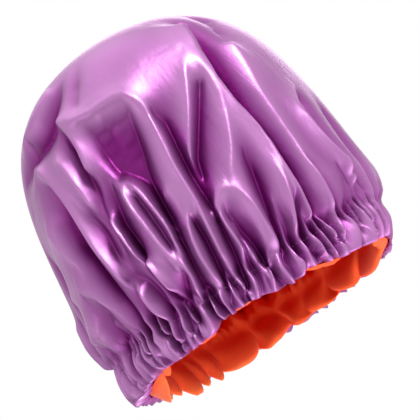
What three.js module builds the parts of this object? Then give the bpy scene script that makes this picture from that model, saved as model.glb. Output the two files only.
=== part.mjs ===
import * as THREE from "three";

// Double-layer shower cap, standing on its gathered hem with the crown up.
// Millimetres, +Z up. The origin is the middle of the opening, level with the hem's edge.
// Azimuths are degrees round the cap: 0 is the front, which faces -Y, and 90 faces +X.
// The cap is two round cloths, a waterproof cover and a lining. They are sewn together along the edge of
// the hem and again along a row a little higher. The elastic loop runs in the tunnel between those two
// rows, where both cloths are gathered on to it, and long folds run up from there into the crown.

// The cap as a whole
const crownHeight = 235; // hem's edge to the top of the crown
const bodyRadius = 120; // reach of the fullest folds
const bodyLevel = 56; // height at which they reach that far
const gatherRadius = 98; // middle of the elastic loop, drawn out as it is on a head
const shoulderFullness = 2.9; // exponent of the crown's outline: a higher one is squarer

// Cloth
const coverWall = 0.8;
const liningWall = 0.8;
const layerGap = 0.4; // between the two cloths where they lie together
const liningSlack = 2.5; // how much further in the lining lies under the ridge of a fold

// Elastic
const elasticWidth = 10;
const elasticThickness = 1;
const elasticClearance = 0.5; // between the elastic and the nearest pleats
const elasticLap = 12; // length over which its two ends are sewn together
const lapPleat = 65; // column of the hem that the lap lies behind, a wide outward pleat at the back
const elasticSteps = 72;
const lapSteps = 4;

// Hem
const casingHeight = 26; // hem's edge to the upper row of stitching
const tunnelEase = 2; // room above and below the elastic
const seamPleat = 6.5; // how far the pleats stand out, and in, along both sewn rows
const coverPleat = 12; // how far the cover puffs out round the elastic
const liningPleat = 9; // how far the lining puffs in
const neckFlare = 13; // how far the folds already stand out where they leave the casing
const valleyFlare = 3; // the same for the valleys between them

// Valleys between the long folds, in order round the cap: azimuth at the foot, azimuth at the top,
// top as a share of the crown's height, and how far it sags halfway up as a share of the body's radius.
const valleyShares = [
  [-73, -80, 0.56, 0.05],
  [-57, -63, 0.3, 0.02],
  [-43, -54, 0.66, 0.06],
  [-34, -37, 0.78, 0.04],
  [-24, -23, 0.52, 0.04],
  [-14, -14, 0.72, 0.08],
  [-6, -3, 0.34, 0.02],
  [2, 5, 0.66, 0.07],
  [18, 24, 0.38, 0.03],
  [40, 46, 0.9, 0.08],
  [54, 61, 0.52, 0.03],
  [72, 79, 0.48, 0.04],
  [89, 88, 0.32, 0.01],
  [104, 101, 0.76, 0.07],
  [127, 130, 0.56, 0.05],
  [149, 146, 0.84, 0.08],
  [171, 173, 0.5, 0.05],
  [194, 190, 0.73, 0.08],
  [216, 219, 0.86, 0.07],
  [239, 236, 0.53, 0.05],
  [261, 264, 0.72, 0.07],
];
const pleatShares = [1, 0.82, 0.94, 0.74, 1, 0.88, 0.78]; // depth of the hem's pleats, one after another

// Heights of the rings of points above the casing, as shares of what is left up to the crown.
const ringShares = [0.045, 0.17, 0.34, 0.52, 0.7, 0.87];
const crownRingShare = 0.965;

const turn = 360;
const valleyCount = valleyShares.length;
const pleatColumns = 4; // columns of points for each fold in the hem, and half as many above it
const foldColumns = pleatColumns / 2;
const elasticLevel = casingHeight / 2;
const tunnelFoot = elasticLevel - elasticWidth / 2 - tunnelEase;
const tunnelTop = elasticLevel + elasticWidth / 2 + tunnelEase;

// A wall that is measured square to a pleat's steep flank takes up this much more room along the radius.
const pleatRun = (2 * Math.PI * gatherRadius) / (valleyCount * pleatColumns);
const pleatSlant = Math.hypot(pleatRun, 2 * seamPleat) / pleatRun;

// Outline of the fullest folds: how far they reach at a height.
function reach(height) {
  const above = (height - bodyLevel) / (crownHeight - bodyLevel);
  if (above >= 0) return bodyRadius * Math.sqrt(Math.max(0, 1 - above ** shoulderFullness));
  const below = (bodyLevel - height) / (bodyLevel - casingHeight);
  return THREE.MathUtils.lerp(bodyRadius, gatherRadius + neckFlare, below ** 2);
}

// Direction square to that outline, as its outward and its upward share.
function squareOut(height) {
  const step = crownHeight / 1000;
  const fall = reach(height - step) - reach(height + step);
  return new THREE.Vector2(2 * step, fall).normalize();
}

// Radius of the cloth down a valley. It leaves the outline at the valley's top, sags a little on the way
// and comes down to the gathered cloth at the casing.
function valleyReach(valley, height) {
  const [, , topShare, sagShare] = valleyShares[valley];
  const top = crownHeight * topShare;
  if (height >= top) return reach(height);
  const up = (height - casingHeight) / (top - casingHeight);
  const taper = Math.max(0, reach(height) - gatherRadius - valleyFlare) * (1 - up);
  const sag = bodyRadius * sagShare * 4 * up * (1 - up);
  return reach(height) - taper - sag;
}

// Azimuth of a valley at a height. It leans evenly from its foot to its top.
function valleyAzimuth(valley, height) {
  const [foot, head, topShare] = valleyShares[valley];
  const up = (height - casingHeight) / (crownHeight * topShare - casingHeight);
  return THREE.MathUtils.lerp(foot, head, THREE.MathUtils.clamp(up, 0, 1));
}

// Azimuth of the next valley, counted on past a whole turn.
function nextAzimuth(valley, height) {
  const next = (valley + 1) % valleyCount;
  return valleyAzimuth(next, height) + (next === 0 ? turn : 0);
}

// The point of a ring whose place is counted in valleys, so that 2.5 is halfway from valley 2 to valley 3.
function pointAt(place, radius, height, level = height) {
  const valley = Math.floor(place);
  const degrees = THREE.MathUtils.lerp(valleyAzimuth(valley, level), nextAzimuth(valley, level), place % 1);
  const azimuth = THREE.MathUtils.degToRad(degrees);
  return new THREE.Vector3(radius * Math.sin(azimuth), -radius * Math.cos(azimuth), height);
}

// One ring of the body, a valley and a ridge for each fold. The face lies inset within the cover's outside,
// and slack further in under the ridges.
function bodyRing(height, inset, slack) {
  const square = squareOut(height);
  return Array.from({ length: valleyCount * foldColumns }, (_, column) => {
    const place = column / foldColumns;
    const ridge = column % foldColumns !== 0;
    const radius = ridge ? reach(height) : valleyReach(place, height);
    const away = inset + (ridge ? slack : 0);
    return pointAt(place, radius - away * square.x, height - away * square.y, height);
  });
}

// One ring of the hem, pleated in and out. A fold twice as wide has pleats twice as deep.
function hemRing(height, pleatRadius) {
  return Array.from({ length: valleyCount * pleatColumns }, (_, column) => {
    const valley = Math.floor(column / pleatColumns);
    const foldWidth = nextAzimuth(valley, casingHeight) - valleyAzimuth(valley, casingHeight);
    const widthShare = foldWidth / (turn / valleyCount);
    const depth = pleatShares[column % pleatShares.length] * widthShare;
    const radius = pleatRadius(column % 2 === 1 ? depth : -depth);
    return pointAt(column / pleatColumns, radius, height, casingHeight);
  });
}

// Radius of a face from its pleat's depth, which is over 0 where the pleat stands out.
const sewnRow = (inset) => (depth) => gatherRadius + seamPleat * depth - inset * pleatSlant;
const insideCover = (depth) =>
  gatherRadius + elasticThickness / 2 + elasticClearance + coverPleat * Math.max(0, depth);
const outsideLining = (depth) =>
  gatherRadius - elasticThickness / 2 - elasticClearance - liningPleat * Math.max(0, -depth);

// One face of a cloth, as rings from the hem's edge up to the crown, which is a ring of one point.
function clothFace({ edge, inset, slack, tunnelRow }) {
  const above = (share) => THREE.MathUtils.lerp(casingHeight, crownHeight, share);
  const crownRing = bodyRing(above(crownRingShare), inset, slack);
  return [
    hemRing(edge, sewnRow(inset)),
    hemRing(tunnelFoot, tunnelRow),
    hemRing(tunnelTop, tunnelRow),
    hemRing(casingHeight, sewnRow(inset)),
    ...ringShares.map((share) => bodyRing(above(share), inset, slack)),
    crownRing.filter((_, column) => column % foldColumns === 0),
    [new THREE.Vector3(0, 0, crownHeight - inset - slack)],
  ];
}

// Triangles between two rings. The upper one has as many points as the lower one, or half as many, or one.
function bridge(lower, upper) {
  const ratio = lower.length / upper.length;
  return lower.flatMap((point, i) => {
    const next = lower[(i + 1) % lower.length];
    const over = upper[Math.floor(i / ratio)];
    const overNext = upper[Math.floor((i + 1) / ratio) % upper.length];
    const foot = [point, next, overNext];
    return over === overNext ? foot : [...foot, point, overNext, over];
  });
}

// A closed cloth: its outer face, its inner face turned over, and the strip along the hem's edge.
function cloth(name, outerFace, innerFace, finish) {
  const corners = bridge(innerFace[0], outerFace[0]);
  for (let i = 1; i < outerFace.length; i++) {
    corners.push(...bridge(outerFace[i - 1], outerFace[i]));
    corners.push(...bridge(innerFace[i - 1], innerFace[i]).reverse());
  }
  const geometry = new THREE.BufferGeometry().setFromPoints(corners);
  geometry.computeVertexNormals();
  const mesh = new THREE.Mesh(geometry, new THREE.MeshStandardMaterial(finish));
  mesh.name = name;
  return mesh;
}

function outerCover() {
  const wall = coverWall * pleatSlant;
  const outerFace = clothFace({
    edge: 0,
    inset: 0,
    slack: 0,
    tunnelRow: (depth) => insideCover(depth) + wall,
  });
  const innerFace = clothFace({ edge: 0, inset: coverWall, slack: 0, tunnelRow: insideCover });
  return cloth("outer_cover", outerFace, innerFace, { color: 0xa266a0, roughness: 0.3, metalness: 0.3 });
}

function lining() {
  const wall = liningWall * pleatSlant;
  const inset = coverWall + layerGap;
  const outerFace = clothFace({
    edge: layerGap,
    inset,
    slack: liningSlack,
    tunnelRow: outsideLining,
  });
  const innerFace = clothFace({
    edge: layerGap,
    inset: inset + liningWall,
    slack: liningSlack,
    tunnelRow: (depth) => outsideLining(depth) - wall,
  });
  return cloth("lining", outerFace, innerFace, { color: 0xd24a1c, roughness: 0.7, metalness: 0 });
}

function arc(radius, from, to, steps) {
  return Array.from({ length: steps + 1 }, (_, i) => {
    const angle = THREE.MathUtils.lerp(from, to, i / steps);
    return new THREE.Vector2(radius * Math.cos(angle), radius * Math.sin(angle));
  });
}

// A flat band closed into a loop. One end laps over the outside of the other, behind an outward pleat.
function elasticBand() {
  const inside = gatherRadius - elasticThickness / 2;
  const outside = gatherRadius + elasticThickness / 2;
  const lapMiddle = pointAt(lapPleat / pleatColumns, gatherRadius, casingHeight);
  const lapAngle = Math.atan2(lapMiddle.y, lapMiddle.x);
  const halfLap = elasticLap / 2 / outside;
  const band = arc(outside, lapAngle + halfLap, lapAngle - halfLap + 2 * Math.PI, elasticSteps);
  const lap = arc(outside + elasticThickness, lapAngle - halfLap, lapAngle + halfLap, lapSteps);
  const outline = new THREE.Shape([...band, ...lap]);
  outline.holes.push(new THREE.Path(arc(inside, 0, 2 * Math.PI, elasticSteps).slice(1)));
  const geometry = new THREE.ExtrudeGeometry(outline, { depth: elasticWidth, bevelEnabled: false });
  const finish = { color: 0xe9e4dc, roughness: 0.85, metalness: 0 };
  const mesh = new THREE.Mesh(geometry, new THREE.MeshStandardMaterial(finish));
  mesh.position.z = elasticLevel - elasticWidth / 2;
  mesh.name = "elastic_band";
  return mesh;
}

const cap = new THREE.Group();
cap.add(outerCover(), lining(), elasticBand());

export default cap;
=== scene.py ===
# Shower cap: a lilac satin cover and an orange lining, gathered together on an elastic
import math
import random
import bpy
import bmesh
import numpy as np
from mathutils import Matrix, Vector


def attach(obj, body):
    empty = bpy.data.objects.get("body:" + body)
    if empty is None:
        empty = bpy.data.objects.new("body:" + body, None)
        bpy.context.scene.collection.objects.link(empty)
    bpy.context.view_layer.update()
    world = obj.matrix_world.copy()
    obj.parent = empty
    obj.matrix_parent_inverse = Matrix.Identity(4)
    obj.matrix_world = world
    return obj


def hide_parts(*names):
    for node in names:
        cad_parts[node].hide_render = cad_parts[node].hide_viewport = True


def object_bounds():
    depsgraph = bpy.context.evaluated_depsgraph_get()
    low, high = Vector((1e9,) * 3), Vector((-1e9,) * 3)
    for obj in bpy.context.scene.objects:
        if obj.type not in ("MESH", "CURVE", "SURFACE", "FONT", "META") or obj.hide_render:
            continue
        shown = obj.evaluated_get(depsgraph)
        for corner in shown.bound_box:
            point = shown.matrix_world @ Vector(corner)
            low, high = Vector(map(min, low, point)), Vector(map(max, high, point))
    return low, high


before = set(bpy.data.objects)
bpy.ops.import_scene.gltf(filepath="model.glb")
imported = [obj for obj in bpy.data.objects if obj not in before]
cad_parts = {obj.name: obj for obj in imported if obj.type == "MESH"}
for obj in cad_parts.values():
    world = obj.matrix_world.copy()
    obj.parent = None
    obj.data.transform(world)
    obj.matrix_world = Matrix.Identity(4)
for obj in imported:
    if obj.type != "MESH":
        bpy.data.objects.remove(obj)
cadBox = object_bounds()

mm = 0.001
turn = 2 * math.pi
scene = bpy.context.scene

# The camera looks up a little from below the hem, and the cap leans to the left in its picture
camera = {
    "lens": 194,
    "distance": 1.6,
    "elevation": -11.5,
    "roll": 32,
    "aim": (4.8 * mm, 0, 93 * mm),
}


def makeCamera(c):
    tilt = math.radians(c["elevation"])
    aim = Vector(c["aim"])
    spot = aim + c["distance"] * Vector((0, -math.cos(tilt), math.sin(tilt)))
    lensData = bpy.data.cameras.new("camera")
    lensData.lens = c["lens"]
    ob = bpy.data.objects.new("camera", lensData)
    scene.collection.objects.link(ob)
    ob.location = spot
    ob.rotation_euler = (aim - spot).to_track_quat("-Z", "Y").to_euler()
    ob.rotation_euler.rotate_axis("Z", -math.radians(c["roll"]))
    scene.camera = ob
    print("camera at", [round(x, 3) for x in spot])


makeCamera(camera)

# Outline of the fullest folds
outline = {
    "height": cadBox[1][2],
    "reach": 119.5 * mm,
    "widestAt": 56 * mm,
    "taper": 0.135,
    "squareness": 5.3,
    "neck": 113 * mm,  # where the folds leave the upper row
}

# The hem: both cloths in pleats round the elastic, between two sewn rows
hem = {
    "row": 26 * mm,          # mean height of the upper row
    "rowFront": -3.5 * mm,   # how much lower the row runs at the front and back
    "rowSide": 4 * mm,       # and how much higher at the sides
    "rowDrawn": 9 * mm,      # height above the row over which the cloth is drawn in to it
    "rowFollows": 34 * mm,   # and over which it follows the row's rise and fall
    "inner": 99.9 * mm,      # nearest that the cover comes to the middle
    "least": 0.8 * mm,       # that even the deepest crease stands out from there
    "rowDepth": 10.5 * mm,   # mean depth of the pleats at the row
    "footDepth": 10.5 * mm,  # and at the edge
    "drawnIn": 6 * mm,       # less of that at the right
    "puff": 2.6 * mm,        # further out, halfway down
    "cloth": 30 * mm,        # height of the casing's cloth laid flat
    "edgeShare": 0.84,       # share of it above the edge, where it turns in
    "edgeSag": 0.35,         # how much lower the edge runs on a ridge, as a share of its depth
    "highest": 6 * mm,       # that the edge rises to, under the elastic
    "turnUp": 1.6 * mm,      # height of the cloth that turns in
    "pleats": 78,
    "widths": (0.4, 1.6),    # of the pleats, as shares of the mean
    "lean": 5,               # degrees
    "valley": (7, 12),       # depth of the creases in mm
    "above": (3, 32),        # how far they run up above the row in mm
    "apart": 2.2,            # degrees that they keep from the long folds
    "crumples": 26,
    "crumpleDown": (7, 16),  # length of a crumple in mm
    "crumpleOut": (-7, -5, 2),
    "seed": 11,
}

# Height of the hem's edge round the cap: azimuth in degrees and mm
edgeLevels = [
    (-90, 1.2), (-74, 0.8), (-60, 2), (-50, 3.4), (-38, 2), (-30, 0.8), (-22, 0.7), (-15, 4.5),
    (-8, 5.6), (-1, 5.2), (5, 3), (11, 0.8), (17, 2.4), (23, 5), (31, 2.6), (38, 1.6), (48, 3),
    (60, 4), (70, 6), (80, 7), (90, 7), (102, 7), (118, 6), (135, 6), (150, 5), (165, 5),
    (180, 5), (195, 5), (210, 5), (225, 5), (240, 4), (255, 3),
]


def outlineReach(z):
    o = outline
    z = np.asarray(z, dtype=float)
    above = np.clip((z - o["widestAt"]) / (o["height"] - o["widestAt"]), 0, 1)
    below = np.clip((o["widestAt"] - z) / (o["widestAt"] - hem["row"]), 0, 1)
    crown = o["reach"] * (1 - o["taper"] * above) * np.sqrt(1 - above ** o["squareness"])
    neck = o["reach"] + (o["neck"] - o["reach"]) * below ** 2
    return np.where(z >= o["widestAt"], crown, neck)


def ease(x):
    x = np.clip(x, 0, 1)
    return x * x * (3 - 2 * x)


# The way down the outline, from the crown to the upper row
downTurn = np.linspace(0, math.pi / 2, 3000)
downHeight = outline["height"] - (outline["height"] - hem["row"]) * (1 - np.cos(downTurn))
downReach = outlineReach(downHeight)
downWay = np.concatenate([[0], np.cumsum(np.hypot(np.diff(downReach), np.diff(downHeight)))])

cloth = {
    "cells": 100,            # squares of the simulated cloth, each way
    "fineness": 3,           # times finer in the finished pieces
    "fullness": 1.01,        # cloth from crown to row, as a share of the outline's length
    "gather": 0.86,          # width that is left to gather, as a share of a flat disc's
    "gatherFrom": 130 * mm,  # way from the middle at which that share is reached
    "turned": -13,           # degrees, so that the grid's diagonals miss the deep valleys
    "lead": 10,              # frames in which it is drawn on to the form
    "hold": 3,               # that it is held there
    "ramp": 6,               # in which it is let go
    "free": 5,               # in which it settles
    "quality": 6,
    "sewn": 4 * mm,          # cloth above the row that is held with it
    "bodyHold": 0.9,         # how much of that hold the body has
    "firm": 50,              # stiffness of the hold while it is drawn on
    "keep": 4,               # and when it is let go
    "bend": 7,
    "tension": 40,
    "shear": 5,
    "damping": 5,
    "bendDamping": 0.5,
    "mass": 0.15,
    "air": 0.4,
    "inflate": 1,
    "gravity": 0.4,
    "apart": 1.2 * mm,       # from itself
    "offForm": 1.5 * mm,     # from the head form
    "evened": 6,             # rounds that even out how single squares settled
    "formShare": 0.78,       # the head form under it, as a share of the outline's reach
    "formDrop": 5.5 * mm,    # how far its top lies below the crown
}

bodyCut = downWay[-1] * cloth["fullness"]
clothRadius = bodyCut + hem["cloth"]


# Way from the middle of the cut cloth, and direction, of each point of a square grid laid on the disc
def discPlaces(cells):
    line = np.linspace(-1, 1, cells + 1)
    x, y = np.meshgrid(line, line)
    square = np.maximum(abs(x), abs(y))
    safe = np.where(square == 0, 1, square)
    wide = abs(x) >= abs(y)
    slope = np.where(wide, y, x) / safe
    angle = np.where(wide, slope * np.sign(x + (x == 0)), 2 - slope * np.sign(y + (y == 0))) * math.pi / 4
    angle = np.where(np.where(wide, x, y) < 0, angle + math.pi, angle)
    return square * clothRadius, angle + math.pi / 2 + math.radians(cloth["turned"])


def roundTo(way, azimuth, height):
    return np.stack([way * np.sin(azimuth), -way * np.cos(azimuth), height], -1)


# Fold lines of the front: each a list of (azimuth, height, how far out), in degrees and mm. The cloth
# runs in flat facets from line to line, so that the lines are its creases and its ridges
frontLines = [
    # left
    [(-74, 152, -2), (-58, 157, -2), (-51, 154, -3), (-47, 144, -5), (-48, 130, -8), (-51, 118, -11),
     (-51, 104, -13), (-48, 89, -14), (-46, 74, -13), (-43, 60, -12), (-42, 46, -11), (-42, 28, -9)],
    [(-62, 130, 2), (-58, 116, 3), (-55, 98, 2)],
    [(-72, 46, 2), (-66, 50, 4), (-61, 46, 3)],
    [(-71, 82, 1), (-61, 83, 3), (-53, 72, 3), (-49, 60, 1)],
    [(-52, 59, -4), (-55, 40, -7), (-57, 28, -8)],
    [(-51, 168, 2), (-44, 148, 4), (-41, 128, 5), (-40, 108, 5), (-39, 92, 5), (-37, 76, 4), (-36, 62, 2)],
    [(-36, 114, -2), (-35, 102, -5), (-35, 87, -5), (-34, 76, -3)],
    [(-72, 175, -4), (-56, 181, -10), (-47, 185, -13), (-40, 191, -12), (-35, 203, -8), (-30, 213, -3)],
    [(-62, 194, 2), (-50, 202, 3), (-40, 213, 2)],
    [(-37, 188, -6), (-33, 174, -8), (-31, 162, -8), (-30, 147, -7), (-30, 128, -6), (-31, 114, -5),
     (-31, 98, -4), (-31, 80, -3)],
    [(-33, 186, 1), (-28, 172, 3), (-27, 158, 3), (-28, 142, 2)],
    [(-38, 160, 3), (-34, 138, 4), (-33, 118, 2)],
    [(-29, 102, 2), (-28, 94, 4), (-27, 84, 5), (-26, 70, 5), (-24, 56, 4), (-23, 42, 3)],
    [(-35, 64, -4), (-32, 62, -6), (-29, 55, -7), (-28, 44, -8), (-28, 28, -8)],
    [(-32, 50, 3), (-32, 38, 4), (-31, 29, 2)],
    [(-35, 55, -6), (-36, 38, -9), (-37, 27, -9)],
    # middle
    [(-23, 128, -5), (-25, 114, -7), (-27, 97, -9), (-26, 78, -10), (-25, 58, -10), (-24, 42, -10),
     (-23, 28, -9)],
    [(-21, 172, 1), (-20, 159, -7), (-20, 144, -11), (-19, 130, -12), (-19, 121, -4), (-20, 111, 2),
     (-19, 97, 5), (-18, 82, 5), (-17, 65, 4), (-16, 53, 2)],
    [(-14, 170, 1), (-14, 157, -8), (-15, 142, -12), (-17, 128, -12), (-18, 121, -5), (-16, 112, -1),
     (-14, 99, 3), (-13, 88, 3), (-12, 74, 3), (-13, 56, 1)],
    [(-20, 161, -6), (-14, 160, -7), (-5, 158, -4)],
    [(-20, 151, -9), (-14, 150, -10), (-6, 149, -7)],
    [(-20, 142, -11), (-15, 140, -12), (-7, 139, -10)],
    [(-19, 131, -12), (-16, 131, -12), (-8, 130, -12)],
    [(-16, 126, -12), (-13, 119, -12), (-11, 111, -12)],
    [(-17, 106, -5), (-16, 90, -4), (-15, 64, -4)],
    [(-17, 51, 2), (-14, 48, 3), (-14, 40, 3), (-16, 28, 2)],
    [(-16, 46, -6), (-19, 34, -9), (-20, 27, -9)],
    [(-4, 162, -2), (-6, 147, -8), (-8, 132, -12), (-10, 119, -12), (-11, 102, -13), (-11, 82, -12),
     (-12, 66, -11), (-12, 54, -10), (-13, 39, -9), (-14, 27, -9)],
    [(-31, 186, 1), (-24, 176, 4), (-15, 172, 5), (-7, 173, 6), (-2, 170, 6), (1, 162, 5), (3, 152, 3)],
    [(-8, 94, 0), (-6, 97, 3), (-3, 90, 4), (-2, 80, 4)],
    [(-2, 75, 2), (-6, 69, 4), (-7, 60, 5), (-8, 48, 5), (-8, 36, 4), (-7, 28, 2)],
    [(-4, 72, -6), (-4, 54, -9), (-5, 38, -10), (-6, 27, -9)],
    [(2, 148, 3), (1, 128, 4), (0, 108, 5), (0, 82, 5), (-1, 60, 4), (-2, 42, 2)],
    [(4, 152, -3), (6, 140, -6), (5, 122, -8), (4, 101, -9), (4, 76, -10), (3, 54, -10), (2, 39, -9),
     (1, 27, -9)],
    # right
    [(28, 183, 2), (22, 164, 4), (16, 142, 4), (11, 126, 4), (7, 111, 3)],
    [(25, 154, -3), (20, 139, -5), (14, 122, -7), (9, 108, -8), (7, 94, -9)],
    [(28, 188, 2), (29, 166, 5), (28, 140, 5), (26, 127, 4), (24, 117, 4), (20, 100, 4), (16, 88, 4),
     (12, 79, 3)],
    [(3, 67, 3), (7, 75, 4), (10, 77, 5), (13, 72, 5), (15, 60, 5), (15, 45, 4), (16, 29, 2)],
    [(4, 64, 3), (4, 54, 3), (5, 41, 3), (7, 29, 1)],
    [(7, 62, -4), (8, 48, -8), (9, 36, -10), (10, 27, -9)],
    [(24, 94, -3), (23, 77, -7), (21, 60, -9), (19, 43, -10), (18, 27, -9)],
    [(30, 80, 3), (29, 62, 5), (26, 46, 5), (24, 35, 3)],
    [(30, 50, -4), (28, 36, -8), (27, 27, -9)],
    [(41, 200, 2), (34, 176, 3), (31, 152, 5), (31, 130, 5), (33, 104, 5), (33, 88, 5), (32, 60, 4),
     (31, 34, 2)],
    [(47, 208, -6), (41, 186, -12), (37, 161, -15), (35, 128, -15), (36, 103, -15), (36, 82, -14),
     (35, 58, -13), (35, 40, -12), (34, 27, -10)],
    [(50, 172, 1), (44, 130, 2), (43, 94, 2), (42, 60, 2), (42, 36, 1)],
    [(44, 68, -2), (45, 42, -6), (46, 27, -8)],
    [(64, 128, 1), (56, 112, 4), (54, 98, 6), (54, 78, 6), (56, 58, 6), (58, 44, 4)],
    [(64, 118, -4), (60, 98, -8), (60, 76, -8), (62, 54, -7), (64, 36, -7)],
    [(72, 28, -9), (74, 60, -9), (77, 95, -6), (79, 112, -1)],
    [(-72, 28, -9), (-74, 60, -9), (-77, 96, -7), (-81, 124, -2)],
    # crown
    [(-22, 188, -2), (-20, 202, -4), (-18, 215, -2)],
    [(60, 216, -2), (62, 206, -5), (54, 188, -5), (50, 176, -3)],
]

# Valleys of the sides and the back: azimuth at the foot and at the top, top in mm, depth in mm
backValleys = [
    (104, 101, 178, 12), (115, 117, 84, 8), (127, 130, 132, 10), (138, 136, 70, 7),
    (149, 146, 196, 13), (160, 162, 88, 8), (171, 173, 116, 10), (183, 181, 66, 7),
    (194, 190, 172, 12), (205, 207, 92, 8), (216, 219, 202, 13), (228, 226, 74, 7),
    (239, 236, 124, 10), (250, 252, 82, 8), (261, 264, 168, 12), (275, 274, 78, 6),
]
backRidge = 3  # mm that the cloth stands out between them
depthSteps = [(0, 0.7), (0.25, 1), (0.5, 1), (0.8, 0.7), (1, 0.1)]  # share of the height, of the depth


def backLines(valleys):
    foot = hem["row"] / mm + 1
    lines = []
    for low, high, top, depth in valleys:
        lines.append([
            (low + (high - low) * up, foot + (top - foot) * up, -depth * deep) for up, deep in depthSteps
        ])
    for one, two in zip(valleys, valleys[1:]):
        low, high = (one[0] + two[0]) / 2, (one[1] + two[1]) / 2
        top = min(one[2], two[2]) * 0.9
        ridgeFoot = foot + 4
        lines.append([
            (low + (high - low) * up, ridgeFoot + (top - ridgeFoot) * up, backRidge) for up in (0, 0.5, 1)
        ])
    return lines


# Creases of the hem, which run through the upper row and a little way up, with ridges between them. A
# height below the row is the way down the cloth of the casing
def hemLines(h, others):
    rnd = random.Random(h["seed"])
    row, foot = h["row"] / mm, (h["row"] - h["cloth"]) / mm
    feet = [line[i][0] for line in others for i in (0, -1) if line[i][1] < row + 3]
    widths = np.array([rnd.uniform(*h["widths"]) for _ in range(h["pleats"])])
    places = np.cumsum(widths) / sum(widths) * 360
    lines, lows = [], []
    for at in places:
        clear = min(abs((at - place + 180) % 360 - 180) for place in feet) > h["apart"]
        lean = rnd.uniform(-h["lean"], h["lean"])
        deep = rnd.uniform(*h["valley"])
        low, high = h["above"]
        top = row + (low + (high - low) * rnd.random() ** 2 if clear else 1)
        line = [(at - lean * (top - row) / 30, top, -0.3 * deep)] if clear else []
        line.append((at, row, -0.8 * deep))
        for share in (0.3, 0.6):
            aside = rnd.uniform(-1.5, 1.5)
            level = row + (foot - row) * share
            line.append((at + share * lean + aside, level, -deep * rnd.uniform(0.8, 1.1)))
        line.append((at + lean, foot, -deep * rnd.uniform(0.4, 1)))
        lines.append(line)
        lows.append(at + lean)
    for i, at in enumerate(places):
        last = i + 1 == len(places)
        after = places[0] + 360 if last else places[i + 1]
        lowAfter = lows[0] + 360 if last else lows[i + 1]
        share, out = rnd.uniform(0.3, 0.7), rnd.uniform(-1, 2.5)
        lines.append([
            (at + (after - at) * share, row + 3, out - 1),
            (at + (after - at) * (1 - share), row + (foot - row) * 0.35, out),
            (at + (after - at) * rnd.uniform(0.3, 0.7), row + (foot - row) * 0.65, out + rnd.uniform(-2, 1)),
            (lows[i] + (lowAfter - lows[i]) * share, foot, out - rnd.uniform(0, 3)),
        ])
    for _ in range(h["crumples"]):
        at, level = rnd.uniform(0, 360), rnd.uniform(foot + 8, row + 6)
        across, down = rnd.uniform(-3, 3), rnd.uniform(*h["crumpleDown"])
        out = rnd.choice(h["crumpleOut"])
        lines.append([
            (at, level, 0.6 * out),
            (at + 0.6 * across, level - down / 2, out),
            (at + across, level - down, out),
        ])
    return lines


# A finer grid on the smooth surface through the rows and columns of a coarser one
def finerGrid(places, times):
    cells = len(places) - 1
    at = np.arange(cells * times + 1) / times
    i = np.minimum(at.astype(int), cells - 1)
    t = at - i
    nearer = 3 * t ** 3 - 6 * t ** 2 + 4
    farther = -3 * t ** 3 + 3 * t ** 2 + 3 * t + 1
    weights = np.stack([(1 - t) ** 3, nearer, farther, t ** 3]) / 6

    def along(rows):
        rows = np.concatenate([2 * rows[:1] - rows[1:2], rows, 2 * rows[-1:] - rows[-2:-1]])
        return sum(w[:, None, None] * rows[i + n] for n, w in enumerate(weights))

    return along(along(places).transpose(1, 0, 2)).transpose(1, 0, 2)


# How far each point of the cloth stands out: flat facets between the lines, and back to the outline
# where no line is near
relief = {
    "times": 6,               # finer than the simulated cloth
    "reach": 15 * mm,         # within which it comes back to the outline
    "gain": 1.2,              # on the lines' own depths
    "margin": 12 * mm,        # round each line in which its distance is measured
    "closeness": 0.6,         # of a square, at which a point lies on a line
    "crown": 12 * mm,         # middle of the crown that is kept smooth
    "skips": (12, 6, 3, 1),   # squares to a step, from the coarsest pass to the last
    "rounds": 160,            # of each pass
    "crease": 1,              # rounds that soften all of it
    "ridge": 10,              # and the ridges
    "valleyFrom": -5 * mm,    # depth at which a fold counts as a valley
    "valleyFade": 6 * mm,
}


def nearestLine(lines, azimuth, height, way):
    reach = outlineReach(height)
    nearest = np.full(azimuth.shape, 1.0)
    value = np.zeros(azimuth.shape)
    margin = relief["margin"]
    for line in lines:
        places = np.radians([point[0] for point in line])
        levels = [point[1] * mm for point in line]
        middle, half = (min(places) + max(places)) / 2, (max(places) - min(places)) / 2
        turned = abs((azimuth - middle + math.pi) % turn - math.pi)
        close = (turned - half) * reach < margin
        close = close & (height > min(levels) - margin) & (height < max(levels) + margin)
        for near, far in zip(line, line[1:]):
            ends = []
            for point in (near, far):
                across = (np.radians(point[0]) - azimuth[close] + math.pi) % turn - math.pi
                level = point[1] * mm
                pointWay = np.interp(-level, -downHeight, downWay) + max(0, hem["row"] - level)
                ends.append((across * reach[close], way[close] - pointWay))
            (ax, ay), (bx, by) = ends
            dx, dy = bx - ax, by - ay
            along = np.clip(-(ax * dx + ay * dy) / (dx * dx + dy * dy + 1e-12), 0, 1)
            off = np.hypot(ax + along * dx, ay + along * dy)
            nearer = off < nearest[close]
            value[close] = np.where(nearer, (near[2] + (far[2] - near[2]) * along) * mm, value[close])
            nearest[close] = np.where(nearer, off, nearest[close])
    return nearest, value


def softened(field, rounds):
    for _ in range(rounds):
        padded = np.pad(field, 1, mode="edge")
        field = (padded[:-2, 1:-1] + padded[2:, 1:-1] + padded[1:-1, :-2] + padded[1:-1, 2:] + 4 * field) / 8
    return field


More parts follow.
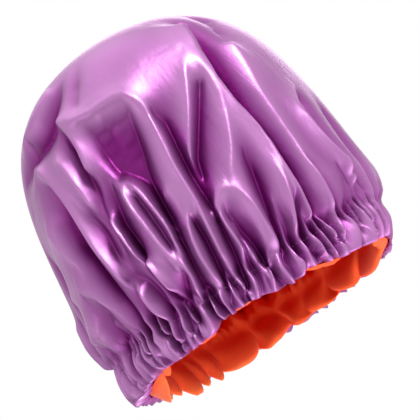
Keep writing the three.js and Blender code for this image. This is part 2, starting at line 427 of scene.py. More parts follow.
def makeRelief(r, lines):
    cells = cloth["cells"] * r["times"]
    way, azimuth = discPlaces(cells)
    down = np.where(way < bodyCut, way / cloth["fullness"], downWay[-1] + way - bodyCut)
    height = np.interp(down, downWay, downHeight) - np.maximum(0, down - downWay[-1])
    nearest, value = nearestLine(lines, azimuth, height, down)
    coarsest = cells // r["skips"][0] + 1
    field = np.zeros((coarsest, coarsest))
    for skip in r["skips"]:
        size = 2 * clothRadius / cells * skip
        part = (slice(None, None, skip), slice(None, None, skip))
        if len(field) != cells // skip + 1:
            field = finerGrid(field[..., None], (cells // skip) // (len(field) - 1))[..., 0]
        onLine = nearest[part] < r["closeness"] * size
        held = onLine | (down[part] < r["crown"])
        fixed = np.where(onLine, value[part] * r["gain"], 0)
        share = 4 + (size / r["reach"]) ** 2
        for _ in range(r["rounds"]):
            padded = np.pad(field, 1, mode="edge")
            field = (padded[:-2, 1:-1] + padded[2:, 1:-1] + padded[1:-1, :-2] + padded[1:-1, 2:]) / share
            field = np.where(held, fixed, field)
    crisp = softened(field, r["crease"])
    rounded = softened(crisp, r["ridge"])
    return crisp + (rounded - crisp) * ease((crisp - r["valleyFrom"]) / r["valleyFade"])


def rowHeight(azimuth):
    return hem["row"] + hem["rowFront"] + (hem["rowSide"] - hem["rowFront"]) * np.sin(azimuth) ** 2


def edgeHeight(azimuth):
    places, levels = zip(*edgeLevels)
    return np.interp(np.degrees(azimuth), places, levels, period=360) * mm


# Place on the casing at a share of the way down its cloth, by how far it stands out there. The last of
# it turns in under the elastic
def casingPlace(move, azimuth, below):
    down = np.minimum(below / hem["edgeShare"], 1)
    foot = hem["footDepth"] - hem["drawnIn"] * np.maximum(0, np.sin(azimuth)) ** 4
    puffed = hem["puff"] * np.sin(math.pi * down) ** 0.8
    full = hem["rowDepth"] + (foot - hem["rowDepth"]) * down + puffed
    out = np.maximum(full + move, hem["least"] * np.exp(np.minimum(0, full + move) / (2 * mm)))
    reach = hem["inner"] + out
    edge = np.minimum(edgeHeight(azimuth) - hem["edgeSag"] * (move + 4 * mm), hem["highest"])
    height = rowHeight(azimuth) + (edge - rowHeight(azimuth)) * down
    turned = ease((below - hem["edgeShare"]) / (1 - hem["edgeShare"]))
    return reach + (hem["inner"] + 0.4 * mm - reach) * turned, height + hem["turnUp"] * turned


allLines = frontLines + backLines(backValleys)
allLines = allLines + hemLines(hem, allLines)
fineRelief = makeRelief(relief, allLines)
print("fold lines", len(allLines))


# The cloth as it is laid on the head form, before it settles, on a grid of so many cells
def laidCloth(cells):
    way, azimuth = discPlaces(cells)
    skip = (len(fineRelief) - 1) // cells
    move = softened(fineRelief, 2 * (skip - 2) ** 2)[::skip, ::skip]
    down = way / cloth["fullness"]
    height = np.interp(down, downWay, downHeight)
    reach = np.interp(down, downWay, downReach)
    slopeReach = np.gradient(downReach, downWay)
    slopeHeight = np.gradient(downHeight, downWay)
    outReach = -np.interp(down, downWay, slopeHeight)
    outHeight = np.interp(down, downWay, slopeReach)
    atRow = ease((hem["row"] + hem["rowDrawn"] - height) / hem["rowDrawn"])
    reach = reach + (hem["inner"] + hem["rowDepth"] - reach) * atRow + outReach * move
    height = height + outHeight * move
    follows = ease((hem["row"] + hem["rowFollows"] - height) / hem["rowFollows"])
    height = height + (rowHeight(azimuth) - hem["row"]) * follows
    below = np.clip((way - bodyCut) / hem["cloth"], 0, 1)
    casingReach, casingHeight = casingPlace(move, azimuth, below)
    inCasing = way > bodyCut
    reach = np.where(inCasing, casingReach, reach)
    return roundTo(reach, azimuth, np.where(inCasing, casingHeight, height))


def gridMesh(name, cells, places):
    bm = bmesh.new()
    bmesh.ops.create_grid(bm, x_segments=cells, y_segments=cells, size=1)
    mesh = bpy.data.meshes.new(name)
    bm.to_mesh(mesh)
    bm.free()
    mesh.vertices.foreach_set("co", places.astype(np.float32).ravel())
    mesh.update()
    ob = bpy.data.objects.new(name, mesh)
    scene.collection.objects.link(ob)
    return ob


# A smooth form under the cloth that keeps the crown up, as the hair of the wearer does
def makeForm():
    bm = bmesh.new()
    levels = np.linspace(0, 1, 40) ** 0.8
    ring = None
    for level in levels:
        z = level * (outline["height"] - cloth["formDrop"])
        drawnIn = 1 - 0.1 * float(ease((0.3 - level) / 0.3))
        reach = float(outlineReach(z + 3 * mm)) * cloth["formShare"] * drawnIn
        vert = bm.verts.new((max(reach, 0.1 * mm), 0, z))
        if ring:
            bm.edges.new((ring, vert))
        ring = vert
    profile = bm.verts[:] + bm.edges[:]
    bmesh.ops.spin(bm, geom=profile, axis=(0, 0, 1), cent=(0, 0, 0), angle=turn, steps=64, use_merge=True)
    bmesh.ops.remove_doubles(bm, verts=bm.verts[:], dist=0.3 * mm)
    bmesh.ops.recalc_face_normals(bm, faces=bm.faces[:])
    mesh = bpy.data.meshes.new("form")
    bm.to_mesh(mesh)
    bm.free()
    form = bpy.data.objects.new("form", mesh)
    scene.collection.objects.link(form)
    form.modifiers.new("collision", "COLLISION")
    form.collision.thickness_outer = 2 * mm
    form.collision.thickness_inner = 20 * mm
    form.collision.cloth_friction = 2
    form.collision.damping = 0.2
    return form


# The cloth is drawn from its flat cut on to the form, then let go and left to settle
def settleCloth(c):
    way, azimuth = discPlaces(c["cells"])
    cutWay = np.linspace(0, clothRadius, 400)
    cutReach = cutWay * (1 - (1 - c["gather"]) * ease(cutWay / c["gatherFrom"]))
    fall = np.sqrt(np.maximum(0, 1 - np.gradient(cutReach, cutWay) ** 2))
    cutHeight = -np.cumsum(fall) * (cutWay[1] - cutWay[0])
    cut = roundTo(np.interp(way, cutWay, cutReach), azimuth, np.interp(way, cutWay, cutHeight))
    ob = gridMesh("settling", c["cells"], cut)
    laid = laidCloth(c["cells"])
    ob.shape_key_add(name="cut")
    key = ob.shape_key_add(name="laid")
    key.data.foreach_set("co", laid.astype(np.float32).ravel())
    key.value = 0
    key.keyframe_insert("value", frame=1)
    key.value = 1
    key.keyframe_insert("value", frame=1 + c["lead"])
    sewn = (way > bodyCut - c["sewn"]).ravel()
    group = ob.vertex_groups.new(name="held")
    group.add([int(i) for i in np.flatnonzero(sewn)], 1, "REPLACE")
    group.add([int(i) for i in np.flatnonzero(~sewn)], c["bodyHold"], "REPLACE")
    modifier = ob.modifiers.new("cloth", "CLOTH")
    s = modifier.settings
    s.quality = c["quality"]
    s.mass = c["mass"]
    s.tension_stiffness = c["tension"]
    s.compression_stiffness = c["tension"]
    s.shear_stiffness = c["shear"]
    s.bending_stiffness = c["bend"]
    s.tension_damping = c["damping"]
    s.compression_damping = c["damping"]
    s.shear_damping = c["damping"]
    s.bending_damping = c["bendDamping"]
    s.air_damping = c["air"]
    s.vertex_group_mass = "held"
    s.use_pressure = True
    s.uniform_pressure_force = c["inflate"]
    s.effector_weights.gravity = c["gravity"]
    modifier.collision_settings.use_self_collision = True
    modifier.collision_settings.self_distance_min = c["apart"]
    modifier.collision_settings.use_collision = True
    modifier.collision_settings.distance_min = c["offForm"]
    modifier.collision_settings.collision_quality = 2
    letGo = c["lead"] + c["hold"]
    last = letGo + c["ramp"] + c["free"]
    modifier.point_cache.frame_start = 1
    modifier.point_cache.frame_end = last + 1
    stiffness = 'modifiers["cloth"].settings.pin_stiffness'
    s.pin_stiffness = c["firm"]
    ob.keyframe_insert(stiffness, frame=letGo)
    s.pin_stiffness = c["keep"]
    ob.keyframe_insert(stiffness, frame=letGo + c["ramp"])
    form = makeForm()
    for frameNumber in range(1, last + 1):
        scene.frame_set(frameNumber)
    settled = ob.evaluated_get(bpy.context.evaluated_depsgraph_get())
    places = np.zeros(3 * len(ob.data.vertices))
    settled.data.vertices.foreach_get("co", places)
    for spent in (ob, form):
        bpy.data.objects.remove(spent)
    scene.frame_set(1)
    side = c["cells"] + 1
    return places.reshape(side, side, 3)


# Brings the fullest folds of the settled cloth back to the outline, seen from a point on the axis
fitting = {
    "centre": 88 * mm,
    "bands": 17,
    "sectors": 36,
    "least": 0.84,
    "most": 1.2,
    "fullest": 90,               # percentile that counts as the fullest
    "above": (2 * mm, 16 * mm),  # heights over the row between which it sets in
}


def fitOutline(places, f):
    x, y, z = places[..., 0], places[..., 1], places[..., 2]
    reach = np.hypot(x, y)
    azimuth = np.arctan2(x, -y)
    lift = np.arctan2(z - f["centre"], reach)
    away = np.hypot(z - f["centre"], reach)
    bands = np.linspace(-0.5, math.pi / 2, f["bands"])
    outlineLift = np.arctan2(downHeight - f["centre"], downReach)
    outlineAway = np.hypot(downHeight - f["centre"], downReach)
    wanted = np.interp(-bands, -outlineLift, outlineAway)
    sectors = f["sectors"]
    step = bands[1] - bands[0]
    full = np.zeros((len(bands), sectors))
    for i, band in enumerate(bands):
        for j in range(sectors):
            off = (azimuth - j * turn / sectors + math.pi) % turn - math.pi
            across = 0.85 * turn / sectors / max(math.cos(band), 0.12)
            near = (abs(lift - band) < 0.7 * step) & (abs(off) < across)
            full[i, j] = np.percentile(away[near], f["fullest"]) if near.any() else wanted[i]
    factor = np.clip(wanted[:, None] / full, f["least"], f["most"])
    for _ in range(2):
        factor = (np.roll(factor, 1, 1) + 2 * factor + np.roll(factor, -1, 1)) / 4
        padded = np.vstack([factor[:1], factor, factor[-1:]])
        factor = (padded[:-2] + 2 * factor + padded[2:]) / 4
    factor[-1] = factor[-1].mean()
    band = np.clip((lift - bands[0]) / step, 0, len(bands) - 1.001)
    sector = (azimuth % turn) / (turn / sectors)
    i, j = band.astype(int), sector.astype(int) % sectors
    u, v = band - i, sector - sector.astype(int)
    k = (j + 1) % sectors
    scale = (factor[i, j] * (1 - u) * (1 - v) + factor[i + 1, j] * u * (1 - v)
             + factor[i, k] * (1 - u) * v + factor[i + 1, k] * u * v)
    low, high = f["above"]
    scale = 1 + (scale - 1) * ease((z - hem["row"] - low) / (high - low))
    spread = (factor.min(), factor.mean(), factor.max())
    print("settled cloth fitted by", [round(float(share), 3) for share in spread])
    return np.stack([x * scale, y * scale, f["centre"] + (z - f["centre"]) * scale], -1)


def squareOff(places):
    across = np.cross(np.gradient(places, axis=1), np.gradient(places, axis=0))
    return across / (np.linalg.norm(across, axis=-1, keepdims=True) + 1e-12)


# How deep each point lies in a fold, from -1 on a ridge to 1 in a valley, seen from outside. The materials
# paint the cloth's colour lighter and darker by it: painted light on ridges and painted shade in folds
def foldDepth(places, rounds, full):
    flat = places.copy()
    for _ in range(rounds):
        flat[1:-1, 1:-1] = (flat[:-2, 1:-1] + flat[2:, 1:-1] + flat[1:-1, :-2] + flat[1:-1, 2:]) / 4
    return np.clip(((flat - places) * squareOff(flat)).sum(-1) / full, -1, 1)


def finishCloth(ob, cells, depth):
    mesh = ob.data
    way, azimuth = discPlaces(cells)
    flat = roundTo(way, azimuth, way)[..., :2].reshape(-1, 2)
    corner = np.zeros(len(mesh.loops), dtype=np.int32)
    mesh.loops.foreach_get("vertex_index", corner)
    mesh.uv_layers.new(name="cut").data.foreach_set("uv", flat[corner].astype(np.float32).ravel())
    # The fold depth goes on the mesh, where the materials use it to paint light on ridges and shade in folds
    fold = mesh.attributes.new("fold", "FLOAT", "POINT")
    fold.data.foreach_set("value", depth.astype(np.float32).ravel())
    run = mesh.attributes.new("run", "FLOAT_VECTOR", "POINT")
    along = np.stack([np.sin(azimuth), -np.cos(azimuth), way / clothRadius], -1)
    run.data.foreach_set("vector", along.astype(np.float32).ravel())
    mesh.polygons.foreach_set("use_smooth", [True] * len(mesh.polygons))
    mesh.update()
    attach(ob, "root")
    return ob


settled = fitOutline(settleCloth(cloth), fitting)
print("cloth settled")


# Painted shade: how much darker the satin's colour is painted in its folds, and lighter on its ridges, by
# their shape and by the lines' own depth
satinPaintedShade = {
    "rounds": 160,
    "full": 5 * mm,
    "shapeShare": 0.7,
    "lineShare": 0.6,
    "lineFrom": 2 * mm,
    "lineFull": 13 * mm,
}


# The cover's finished surface: its sharpest creases, moved as the coarser cloth moved while it settled
def coverPlaces(times):
    moved = settled - laidCloth(cloth["cells"])
    moved = np.stack([softened(moved[..., i], cloth["evened"]) for i in range(3)], -1)
    way, _ = discPlaces(cloth["cells"] * times)
    free = 1 - ease((way - bodyCut + 10 * mm) / (10 * mm))
    return laidCloth(cloth["cells"] * times) + finerGrid(moved, times) * free[..., None]


def makeCover(shade):
    times = cloth["fineness"]
    places = coverPlaces(times)
    ob = gridMesh("satin_cover", cloth["cells"] * times, places)
    skip = relief["times"] // times
    # Painted shade and light: the colour is painted darker where the cloth sinks into a fold and lighter
    # where it stands out
    sunk = -fineRelief[::skip, ::skip] - shade["lineFrom"]
    byShape = shade["shapeShare"] * foldDepth(places, shade["rounds"], shade["full"])
    depth = np.clip(byShape + shade["lineShare"] * sunk / shade["lineFull"], -1, 1)
    finishCloth(ob, cloth["cells"] * times, depth)
    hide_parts("outer_cover")
    print("cover made")
    return ob, places


lining = {
    "under": 1.6 * mm,       # how far it lies inside the cover
    "drawn": 22 * mm,        # height above the row over which it is drawn in to it
    "outer": 96.7 * mm,      # nearest that it comes to the elastic from within
    "row": 97.6 * mm,        # where it is sewn along the upper row
    "seam": 98.9 * mm,       # where it meets the turned edge of the cover
    "edgeShare": 0.82,       # share of its cloth above its lowest point
    "puffIn": 13 * mm,
    "puffFront": 0.2,        # share of that at the front
    "puffGrows": 1.6,        # how soon it is full on the way to the back
    "hangFront": -6 * mm,    # how far the puffs hang below the edge, at the front
    "hangBack": 10.5 * mm,
    "hangGrows": 2.2,
    "hangSide": 0.45,        # share less of it at the right, and more at the left
    "hangMiddle": 0.45,      # share of it in the middle of the back
    "notch": 0.35,           # how far the notches between the puffs reach up, as a share
    "hangLess": 1 * mm,
    "puffs": {"seed": 4, "pleats": 18, "splitShare": 0.5},
    "peeps": [(-25, 8, 5), (-6, 7, 5), (31, 13, 5.6), (118, 20, 3), (205, 25, 3)],  # azimuth, half width, mm
    # Smoothing rounds and full depth of the fold depth by which the lining's colour is painted lighter on
    # its inward puffs and darker in its creases: painted light and painted shade
    "shadeRounds": 80,
    "shadeFull": 6 * mm,
}


# Irregular puffs of the lining: each has its own width, depth, lean and creases
def makePuffs(p):
    rnd = random.Random(p["seed"])
    widths = [rnd.uniform(0.4, 1.6) for _ in range(p["pleats"])]
    marks = np.concatenate([[0], np.cumsum(widths)]) / sum(widths) * turn
    edges, upper, lower = [], [], []
    for start, end in zip(marks, marks[1:]):
        edges.append(start)
        upper.append(1)
        lower.append(rnd.uniform(0.5, 1))
        divide, place = rnd.random(), rnd.uniform(0.3, 0.7)
        above, under = rnd.uniform(0.2, 0.95), rnd.uniform(0.1, 1)
        if divide < p["splitShare"]:
            edges.append(start + (end - start) * place)
            upper.append(above)
            lower.append(under)
    count = len(edges)
    rnd = random.Random(p["seed"] + 1)
    shifts = [rnd.uniform(-0.48, 0.48) for _ in range(count)]
    bows = [rnd.uniform(-0.3, 0.3) for _ in range(count)]
    depths = [rnd.uniform(0.7, 1.12) for _ in range(count)]
    skews = [rnd.uniform(0.75, 1.35) for _ in range(count)]
    sharps = [rnd.choice((1.8, 2.2, 2.8)) for _ in range(count)]
    edges.append(turn)
    widths = np.diff(edges)
    room = np.minimum(widths, np.roll(widths, 1))
    lean, bow = np.array(shifts) * room, np.array(bows) * room
    return {
        "edges": np.array(edges),
        "lean": np.append(lean, lean[0]),
        "bow": np.append(bow, bow[0]),
        "upperCrease": np.append(upper, upper[0]),
        "lowerCrease": np.append(lower, lower[0]),
        "depths": np.array(depths) * np.minimum(1.1, widths / np.mean(widths)) ** 0.5,
        "skews": np.array(skews),
        "sharps": np.array(sharps),
    }


# How full a puff is, from 0 in its creases to about 1, at a share of the way down the casing
def puffProfile(p, azimuth, down):
    count = len(p["depths"])
    bowed = np.sin(math.pi * down)

    def edge(i):
        return p["edges"][i] + p["lean"][i] * down + p["bow"][i] * bowed

    def crease(i):
        return p["upperCrease"][i] + (p["lowerCrease"][i] - p["upperCrease"][i]) * down

    start = edge(0)
    a = (azimuth - start) % turn + start
    k = np.clip(np.searchsorted(p["edges"], a, side="right") - 1, 0, count - 1)
    k = np.where((a < edge(k)) & (k > 0), k - 1, k)
    k = np.where((a >= edge(np.minimum(k + 1, count))) & (k < count - 1), k + 1, k)
    x = np.clip((a - edge(k)) / (edge(k + 1) - edge(k)), 0, 1)
    ridge = (1 - abs(2 * x ** p["skews"][k] - 1) ** p["sharps"][k]) ** 0.8
    deep = crease(k) + (crease(k + 1) - crease(k)) * x
    own, nextDepth, lastDepth = p["depths"][k], p["depths"][(k + 1) % count], p["depths"][k - 1]
    depth = np.where(x < 0.5, lastDepth + (own - lastDepth) * (0.5 + x), own + (nextDepth - own) * (x - 0.5))
    return depth * (1 - deep * (1 - ridge))


# The lining puffs in from the elastic, hangs a little below the edge and turns out to meet the cover
def liningCasing(l, azimuth, below):
    down = np.minimum(below / l["edgeShare"], 1)
    back = 0.5 - 0.5 * np.cos(azimuth)
    side = np.sin(azimuth)
    profile = puffProfile(makePuffs(l["puffs"]), azimuth, down)
    aside = (1 - l["hangSide"] * side) * (l["hangMiddle"] + (1 - l["hangMiddle"]) * abs(side))
    notched = (1 + l["notch"]) * np.minimum(profile, 1) - l["notch"]
    hangBack = l["hangBack"] * aside * notched - l["hangLess"]
    hang = l["hangFront"] + (hangBack - l["hangFront"]) * ease(back * l["hangGrows"])
    for middle, half, low in l["peeps"]:
        off = (np.degrees(azimuth) - middle + 180) % 360 - 180
        hang = hang + low * mm * ease(1.3 - abs(off) / half)
    bulge = np.sin(math.pi * (0.12 + 0.7 * down)) ** 0.8 - math.sin(0.12 * math.pi) ** 0.8 * (1 - down)
    puffIn = l["puffIn"] * (l["puffFront"] + (1 - l["puffFront"]) * ease(back * l["puffGrows"]))
    reach = l["outer"] + (l["row"] - l["outer"]) * ease(1 - down / 0.3) - puffIn * profile * bulge
    low = edgeHeight(azimuth) - hang
    height = rowHeight(azimuth) + (low - rowHeight(azimuth)) * np.sin(down * math.pi / 2)
    turned = ease((below - l["edgeShare"]) / (1 - l["edgeShare"]))
    seamHeight = np.minimum(edgeHeight(azimuth), hem["highest"]) + hem["turnUp"]
    return reach + (l["seam"] - reach) * turned, height + (seamHeight - height) * turned


def makeLining(l, outer):
    cells = len(outer) - 1
    way, azimuth = discPlaces(cells)
    middle = np.array([0, 0, fitting["centre"]])
    away = np.linalg.norm(outer - middle, axis=-1)
    body = middle + (outer - middle) * (1 - l["under"] / away)[..., None]
    inward = roundTo(-np.ones_like(way), azimuth, 0 * way)
    drawn = ease(1 - (bodyCut - way) / l["drawn"]) * (way < bodyCut)
    reach = np.hypot(body[..., 0], body[..., 1])
    body = body + inward * ((reach - l["row"]) * drawn)[..., None]
    below = np.clip((way - bodyCut) / hem["cloth"], 0, 1)
    reach, height = liningCasing(l, azimuth, below)
    casing = roundTo(reach, azimuth, height)
    inCasing = ease((way - bodyCut + 3 * mm) / (4 * mm))[..., None]
    places = body + (casing - body) * inCasing
    ob = gridMesh("orange_lining", cells, places)
    finishCloth(ob, cells, foldDepth(places, l["shadeRounds"], l["shadeFull"]))
    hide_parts("lining")
    print("lining made")
    return ob


# Small stitches along the upper row, laid on the cover's pleats
stitches = {
    "pitch": 3.6 * mm,
    "length": 2.3 * mm,
    "thread": 0.5 * mm,
    "below": 1 * mm,   # from the row, down the casing's cloth
    "proud": 0.25,     # share of the thread that lies above the cloth's surface
}


def ringOf(places, way, target):
    cells = len(places) - 1
    middle = cells // 2
    ring = int(round(np.interp(target, way[middle, middle:], np.arange(middle + 1))))
    low, high = middle - ring, middle + ring
    loop = [(low, i) for i in range(low, high)] + [(i, high) for i in range(low, high)]
    loop += [(high, i) for i in range(high, low, -1)] + [(i, low) for i in range(high, low, -1)]
    return np.array([places[a, b] for a, b in loop]), loop


def makeStitches(s, places):
    way, _ = discPlaces(len(places) - 1)
    line, loop = ringOf(places, way, bodyCut + s["below"])
    normals = squareOff(places)
    square = np.array([normals[a, b] for a, b in loop])
    closed = np.vstack([line, line[:1]])
    run = np.concatenate([[0], np.cumsum(np.linalg.norm(np.diff(closed, axis=0), axis=1))])
    count = int(run[-1] / s["pitch"])
    bm = bmesh.new()
    for n in range(count):
        at = run[-1] * n / count
        place = Vector([float(np.interp(at, run, closed[:, i])) for i in range(3)])
        ahead = Vector([float(np.interp((at + 1 * mm) % run[-1], run, closed[:, i])) for i in range(3)])
        k = min(int(np.searchsorted(run, at, side="right")) - 1, len(line) - 1)
        up = Vector(square[k])
        x = (ahead - place).normalized()
        z = (up - x * up.dot(x)).normalized()
        y = z.cross(x)
        stand = Matrix((x, y, z)).transposed().to_4x4()
        stand.translation = place + z * s["proud"] * s["thread"]
        stand = stand @ Matrix.Diagonal((s["length"] / 2, s["thread"] / 2, s["thread"] / 2, 1))
        bmesh.ops.create_uvsphere(bm, u_segments=6, v_segments=6, radius=1, matrix=stand)
    mesh = bpy.data.meshes.new("row_stitches")
    bm.to_mesh(mesh)
    bm.free()
    mesh.polygons.foreach_set("use_smooth", [True] * len(mesh.polygons))
    ob = bpy.data.objects.new("row_stitches", mesh)
    scene.collection.objects.link(ob)
    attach(ob, "root")
    print("stitches", count)
    return ob


# Shader maths on sockets
class Value:
    def __init__(self, tree, socket):
        self.tree = tree
        self.socket = socket

    def maths(self, operation, *others, clamp=False):
        settings = {"operation": operation, "use_clamp": clamp}
        return node(self.tree, "ShaderNodeMath", settings, [self, *others])

    def __add__(self, other):
        return self.maths("ADD", other)

    def __radd__(self, other):
        return self.maths("ADD", other)

    def __sub__(self, other):
        return self.maths("SUBTRACT", other)

    def __rsub__(self, other):
        return node(self.tree, "ShaderNodeMath", {"operation": "SUBTRACT"}, [other, self])

    def __mul__(self, other):
        return self.maths("MULTIPLY", other)

    def __rmul__(self, other):
        return self.maths("MULTIPLY", other)

    def __truediv__(self, other):
        return self.maths("DIVIDE", other)


def node(tree, kind, settings, sockets, output=0):
    made = tree.nodes.new(kind)
    stops = settings.get("stops")
    for name, value in settings.items():
        if name != "stops":
            setattr(made, name, value)
    if stops:
        ramp = made.color_ramp
        while len(ramp.elements) < len(stops):
            ramp.elements.new(0.5)
        for element, (position, colour) in zip(ramp.elements, stops):
            element.position = position
            element.color = (*colour, 1)
    pairs = sockets.items() if isinstance(sockets, dict) else enumerate(sockets)
    for name, value in pairs:
        if isinstance(value, Value):
            tree.links.new(value.socket, made.inputs[name])
        elif isinstance(value, tuple) and len(value) == 3 and made.inputs[name].type == "RGBA":
            made.inputs[name].default_value = (*value, 1)
        else:
            made.inputs[name].default_value = value
    return Value(tree, made.outputs[output])


def newMaterial(name):
    material = bpy.data.materials.new(name)
    material.use_nodes = True
    material.node_tree.nodes.clear()
    return material, material.node_tree


def finishTree(tree, surface):
    end = tree.nodes.new("ShaderNodeOutputMaterial")
    tree.links.new(surface.socket, end.inputs["Surface"])


# Threads of a cloth that run one way
def weaveBands(tree, cut, pitch, direction, distortion):
    return node(tree, "ShaderNodeTexWave", {"wave_type": "BANDS", "bands_direction": direction},
                {"Vector": cut, "Scale": 0.31 / pitch, "Distortion": distortion})


def bumped(tree, strength, distance, height, normal=None):
    sockets = {"Strength": strength, "Distance": distance, "Height": height}
    if normal:
        sockets["Normal"] = normal
    return node(tree, "ShaderNodeBump", {}, sockets)


satin = {
    # Satin colours: lighter on the ridges and darker in the valleys, as a painted highlight on ridges and
    # painted shade in folds, set by the fold depth
    "ridge": (0.5, 0.21, 0.49),
    "flat": (0.33, 0.09, 0.32),
    "valley": (0.21, 0.012, 0.18),
    "metallic": 0.7,
    "roughness": 0.38,
    "specular": 0.3,
    "cloudScale": 14,             # patches a little lighter and darker
    "cloud": 0.12,
    "streakScale": (9, 9, 2.5),   # fine wrinkles that run down the cut towards the hem
    "streak": 0.25,
    "creaseScale": 34,            # crumples over all of the cloth
    "crease": 0.22,
    "weavePitch": 0.9 * mm,
    "weave": 0.12,
}


def satinMaterial(m):
    material, tree = newMaterial("pearly_satin")
    fold = node(tree, "ShaderNodeAttribute", {"attribute_name": "fold"}, {}, "Fac")
    run = node(tree, "ShaderNodeAttribute", {"attribute_name": "run"}, {}, "Vector")
    cut = node(tree, "ShaderNodeUVMap", {"uv_map": "cut"}, {})
    place = node(tree, "ShaderNodeTexCoord", {}, {}, "Object")
    cloud = node(tree, "ShaderNodeTexNoise", {}, {"Vector": place, "Scale": m["cloudScale"], "Detail": 3})
    # Painted light and shade: the fold depth moves the colour from the lighter ridge colour to the darker
    # valley colour, with a little random cloud
    stops = [(0.12, m["ridge"]), (0.5, m["flat"]), (0.9, m["valley"])]
    tone = 0.5 + fold * 0.5 + (cloud - 0.5) * m["cloud"]
    colour = node(tree, "ShaderNodeValToRGB", {"stops": stops}, [tone])
    streakAlong = node(tree, "ShaderNodeVectorMath", {"operation": "MULTIPLY"}, [run, m["streakScale"]])
    streak = node(tree, "ShaderNodeTexNoise", {}, {"Vector": streakAlong, "Scale": 1, "Detail": 4})
    split = node(tree, "ShaderNodeSeparateXYZ", {}, [run], "Z")
    streak = (streak - 0.5) * (split * 2.5 - 0.6).maths("MINIMUM", 1).maths("MAXIMUM", 0)
    weave = weaveBands(tree, cut, m["weavePitch"], "X", 0.6)
    weft = weaveBands(tree, cut, m["weavePitch"], "Y", 0.6)
    creased = {"Vector": cut, "Scale": m["creaseScale"], "Detail": 5, "Distortion": 0.7}
    crease = node(tree, "ShaderNodeTexNoise", {}, creased)
    crumple = bumped(tree, m["crease"], 3 * mm, crease)
    wrinkle = bumped(tree, m["streak"], 4 * mm, streak, crumple)
    grain = bumped(tree, m["weave"], 0.2 * mm, weave + weft, wrinkle)
    surface = node(tree, "ShaderNodeBsdfPrincipled", {}, {
        "Base Color": colour,
        "Metallic": m["metallic"],
        "Roughness": m["roughness"] + streak * 0.12,
        "Specular IOR Level": m["specular"],
        "Normal": grain,
    })
    finishTree(tree, surface)
    return material


orange = {
    # Lining colours: lighter on the puffs that stand in towards the head and darker in the creases between
    # them, as painted light and painted shade, set by the fold depth
    "ridge": (0.88, 0.125, 0.032),
    "flat": (0.88, 0.09, 0.02),
    "valley": (0.36, 0.007, 0.002),
    "roughness": 0.75,
    "specular": 0.25,
    "sheen": 0.1,
    "cloudScale": 30,
    "cloud": 0.2,
    "wrinkle": 0.3,
    "weavePitch": 0.8 * mm,
    "weave": 0.15,
}


def orangeMaterial(m):
    material, tree = newMaterial("orange_lining_cloth")
    fold = node(tree, "ShaderNodeAttribute", {"attribute_name": "fold"}, {}, "Fac")
    cut = node(tree, "ShaderNodeUVMap", {"uv_map": "cut"}, {})
    place = node(tree, "ShaderNodeTexCoord", {}, {}, "Object")
    cloud = node(tree, "ShaderNodeTexNoise", {}, {"Vector": place, "Scale": m["cloudScale"], "Detail": 4})
    # Painted light and shade: the fold depth, turned round since the lining is seen from inside, moves the
    # colour from the lighter puff colour to the darker crease colour
    stops = [(0.1, m["ridge"]), (0.5, m["flat"]), (0.92, m["valley"])]
    tone = 0.5 - fold * 0.5 + (cloud - 0.5) * m["cloud"]
    colour = node(tree, "ShaderNodeValToRGB", {"stops": stops}, [tone])
    weave = weaveBands(tree, cut, m["weavePitch"], "X", 1)
    wrinkle = bumped(tree, m["wrinkle"], 2 * mm, cloud)
    grain = bumped(tree, m["weave"], 0.2 * mm, weave, wrinkle)
    surface = node(tree, "ShaderNodeBsdfPrincipled", {}, {
        "Base Color": colour,
        "Roughness": m["roughness"],
        "Specular IOR Level": m["specular"],
        "Sheen Weight": m["sheen"],
        "Normal": grain,
    })
    finishTree(tree, surface)
    return material


thread = {
    "base": (0.42, 0.2, 0.42),
    "dark": (0.24, 0.08, 0.24),
    "roughness": 0.6,
    "scale": 600,
    "twist": 0.4,
}
braid = {
    "base": (0.8, 0.77, 0.71),
    "dark": (0.5, 0.47, 0.42),
    "roughness": 0.8,
    "scale": 260,
    "twist": 0.4,
}


def yarnMaterial(name, m):
    material, tree = newMaterial(name)
    place = node(tree, "ShaderNodeTexCoord", {}, {}, "Object")
    twist = node(tree, "ShaderNodeTexWave", {"wave_type": "BANDS", "bands_direction": "DIAGONAL"},
                 {"Vector": place, "Scale": m["scale"], "Distortion": 1})
    colour = node(tree, "ShaderNodeValToRGB", {"stops": [(0, m["dark"]), (0.7, m["base"])]}, [twist])
    bump = bumped(tree, m["twist"], 0.2 * mm, twist)
    surface = node(tree, "ShaderNodeBsdfPrincipled", {},
                   {"Base Color": colour, "Roughness": m["roughness"], "Normal": bump})
    finishTree(tree, surface)
    return material


cover, coverSurface = makeCover(satinPaintedShade)
liningCloth = makeLining(lining, coverSurface)
rowStitches = makeStitches(stitches, coverSurface)

cover.data.materials.append(satinMaterial(satin))
liningCloth.data.materials.append(orangeMaterial(orange))
rowStitches.data.materials.append(yarnMaterial("lilac_thread", thread))
band = bpy.data.objects["elastic_band"]
band.material_slots[0].material = yarnMaterial("braided_elastic", braid)
print("materials made")

# Soft boxes, each aimed at the cap: place, width, height, power
lamps = {
    "key": ((0.75, -0.7, 1.05), 0.38, 0.38, 13),
    "left": ((-1.1, -0.7, 0.35), 0.2, 0.8, 1),
    "top": ((-0.1, 0.15, 1.25), 0.9, 0.9, 2),
    "below": ((0, -0.25, -0.78), 0.6, 0.6, 12),
    "back": ((0.3, 1.1, 0.7), 0.8, 0.6, 4.5),
}


lampAim = Vector((0, 0, 0.1))


def makeLamp(name, place, width, height, power):
    light = bpy.data.lights.new(name, "AREA")
    light.shape = "RECTANGLE"
    light.size = width
    light.size_y = height
    light.energy = power
    ob = bpy.data.objects.new(name, light)
    scene.collection.objects.link(ob)
    ob.location = place
    ob.rotation_euler = (lampAim - Vector(place)).to_track_quat("-Z", "Y").to_euler()


for name, lamp in lamps.items():
    makeLamp(name, *lamp)

# White all round to the eye and in reflections, and a plain grey light on the cloth
surround = {"seen": 1, "cast": 0.14}


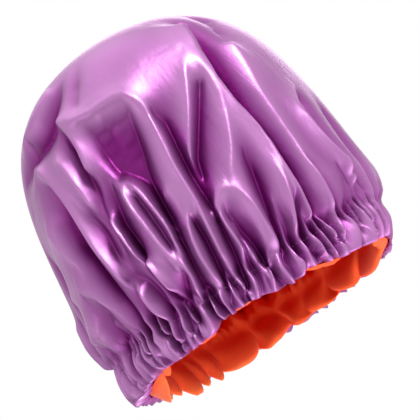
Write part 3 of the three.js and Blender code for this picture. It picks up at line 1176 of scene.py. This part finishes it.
def makeWorld(w):
    world = bpy.data.worlds.new("surround")
    scene.world = world
    world.use_nodes = True
    tree = world.node_tree
    tree.nodes.clear()
    path = tree.nodes.new("ShaderNodeLightPath")
    toEye, inGloss, through = [
        Value(tree, path.outputs[name]) for name in ("Is Camera Ray", "Is Glossy Ray", "Is Transmission Ray")
    ]
    seen = (toEye + inGloss).maths("ADD", through, clamp=True)
    grey = node(tree, "ShaderNodeBackground", {}, {"Color": (1, 1, 1), "Strength": w["cast"]})
    white = node(tree, "ShaderNodeBackground", {}, {"Color": (1, 1, 1), "Strength": w["seen"]})
    both = node(tree, "ShaderNodeMixShader", {}, [seen, grey, white])
    end = tree.nodes.new("ShaderNodeOutputWorld")
    tree.links.new(both.socket, end.inputs["Surface"])


makeWorld(surround)

# The floor is seen from above only, so that the camera can look up from under it
floor = {
    "size": 3,
    "colour": (0.86, 0.86, 0.86),
    "pale": 0.7,  # share of plain white in it to the eye
}


def makeFloor(f):
    bm = bmesh.new()
    bmesh.ops.create_grid(bm, x_segments=1, y_segments=1, size=f["size"])
    mesh = bpy.data.meshes.new("floor")
    bm.to_mesh(mesh)
    bm.free()
    ob = bpy.data.objects.new("floor", mesh)
    scene.collection.objects.link(ob)
    material, tree = newMaterial("pale_floor")
    geometry = tree.nodes.new("ShaderNodeNewGeometry")
    path = tree.nodes.new("ShaderNodeLightPath")
    behind = Value(tree, geometry.outputs["Backfacing"])
    shadowRay = Value(tree, path.outputs["Is Shadow Ray"])
    through = behind.maths("MAXIMUM", shadowRay)
    matt = node(tree, "ShaderNodeBsdfPrincipled", {}, {"Base Color": f["colour"], "Roughness": 0.9})
    white = node(tree, "ShaderNodeEmission", {}, {"Color": (1, 1, 1), "Strength": 1})
    toEye = Value(tree, path.outputs["Is Camera Ray"])
    pale = node(tree, "ShaderNodeMixShader", {}, [toEye * f["pale"], matt, white])
    clear = node(tree, "ShaderNodeBsdfTransparent", {}, {})
    finishTree(tree, node(tree, "ShaderNodeMixShader", {}, [through, pale, clear]))
    mesh.materials.append(material)


makeFloor(floor)
scene.view_settings.view_transform = "Standard"
print("stage set")
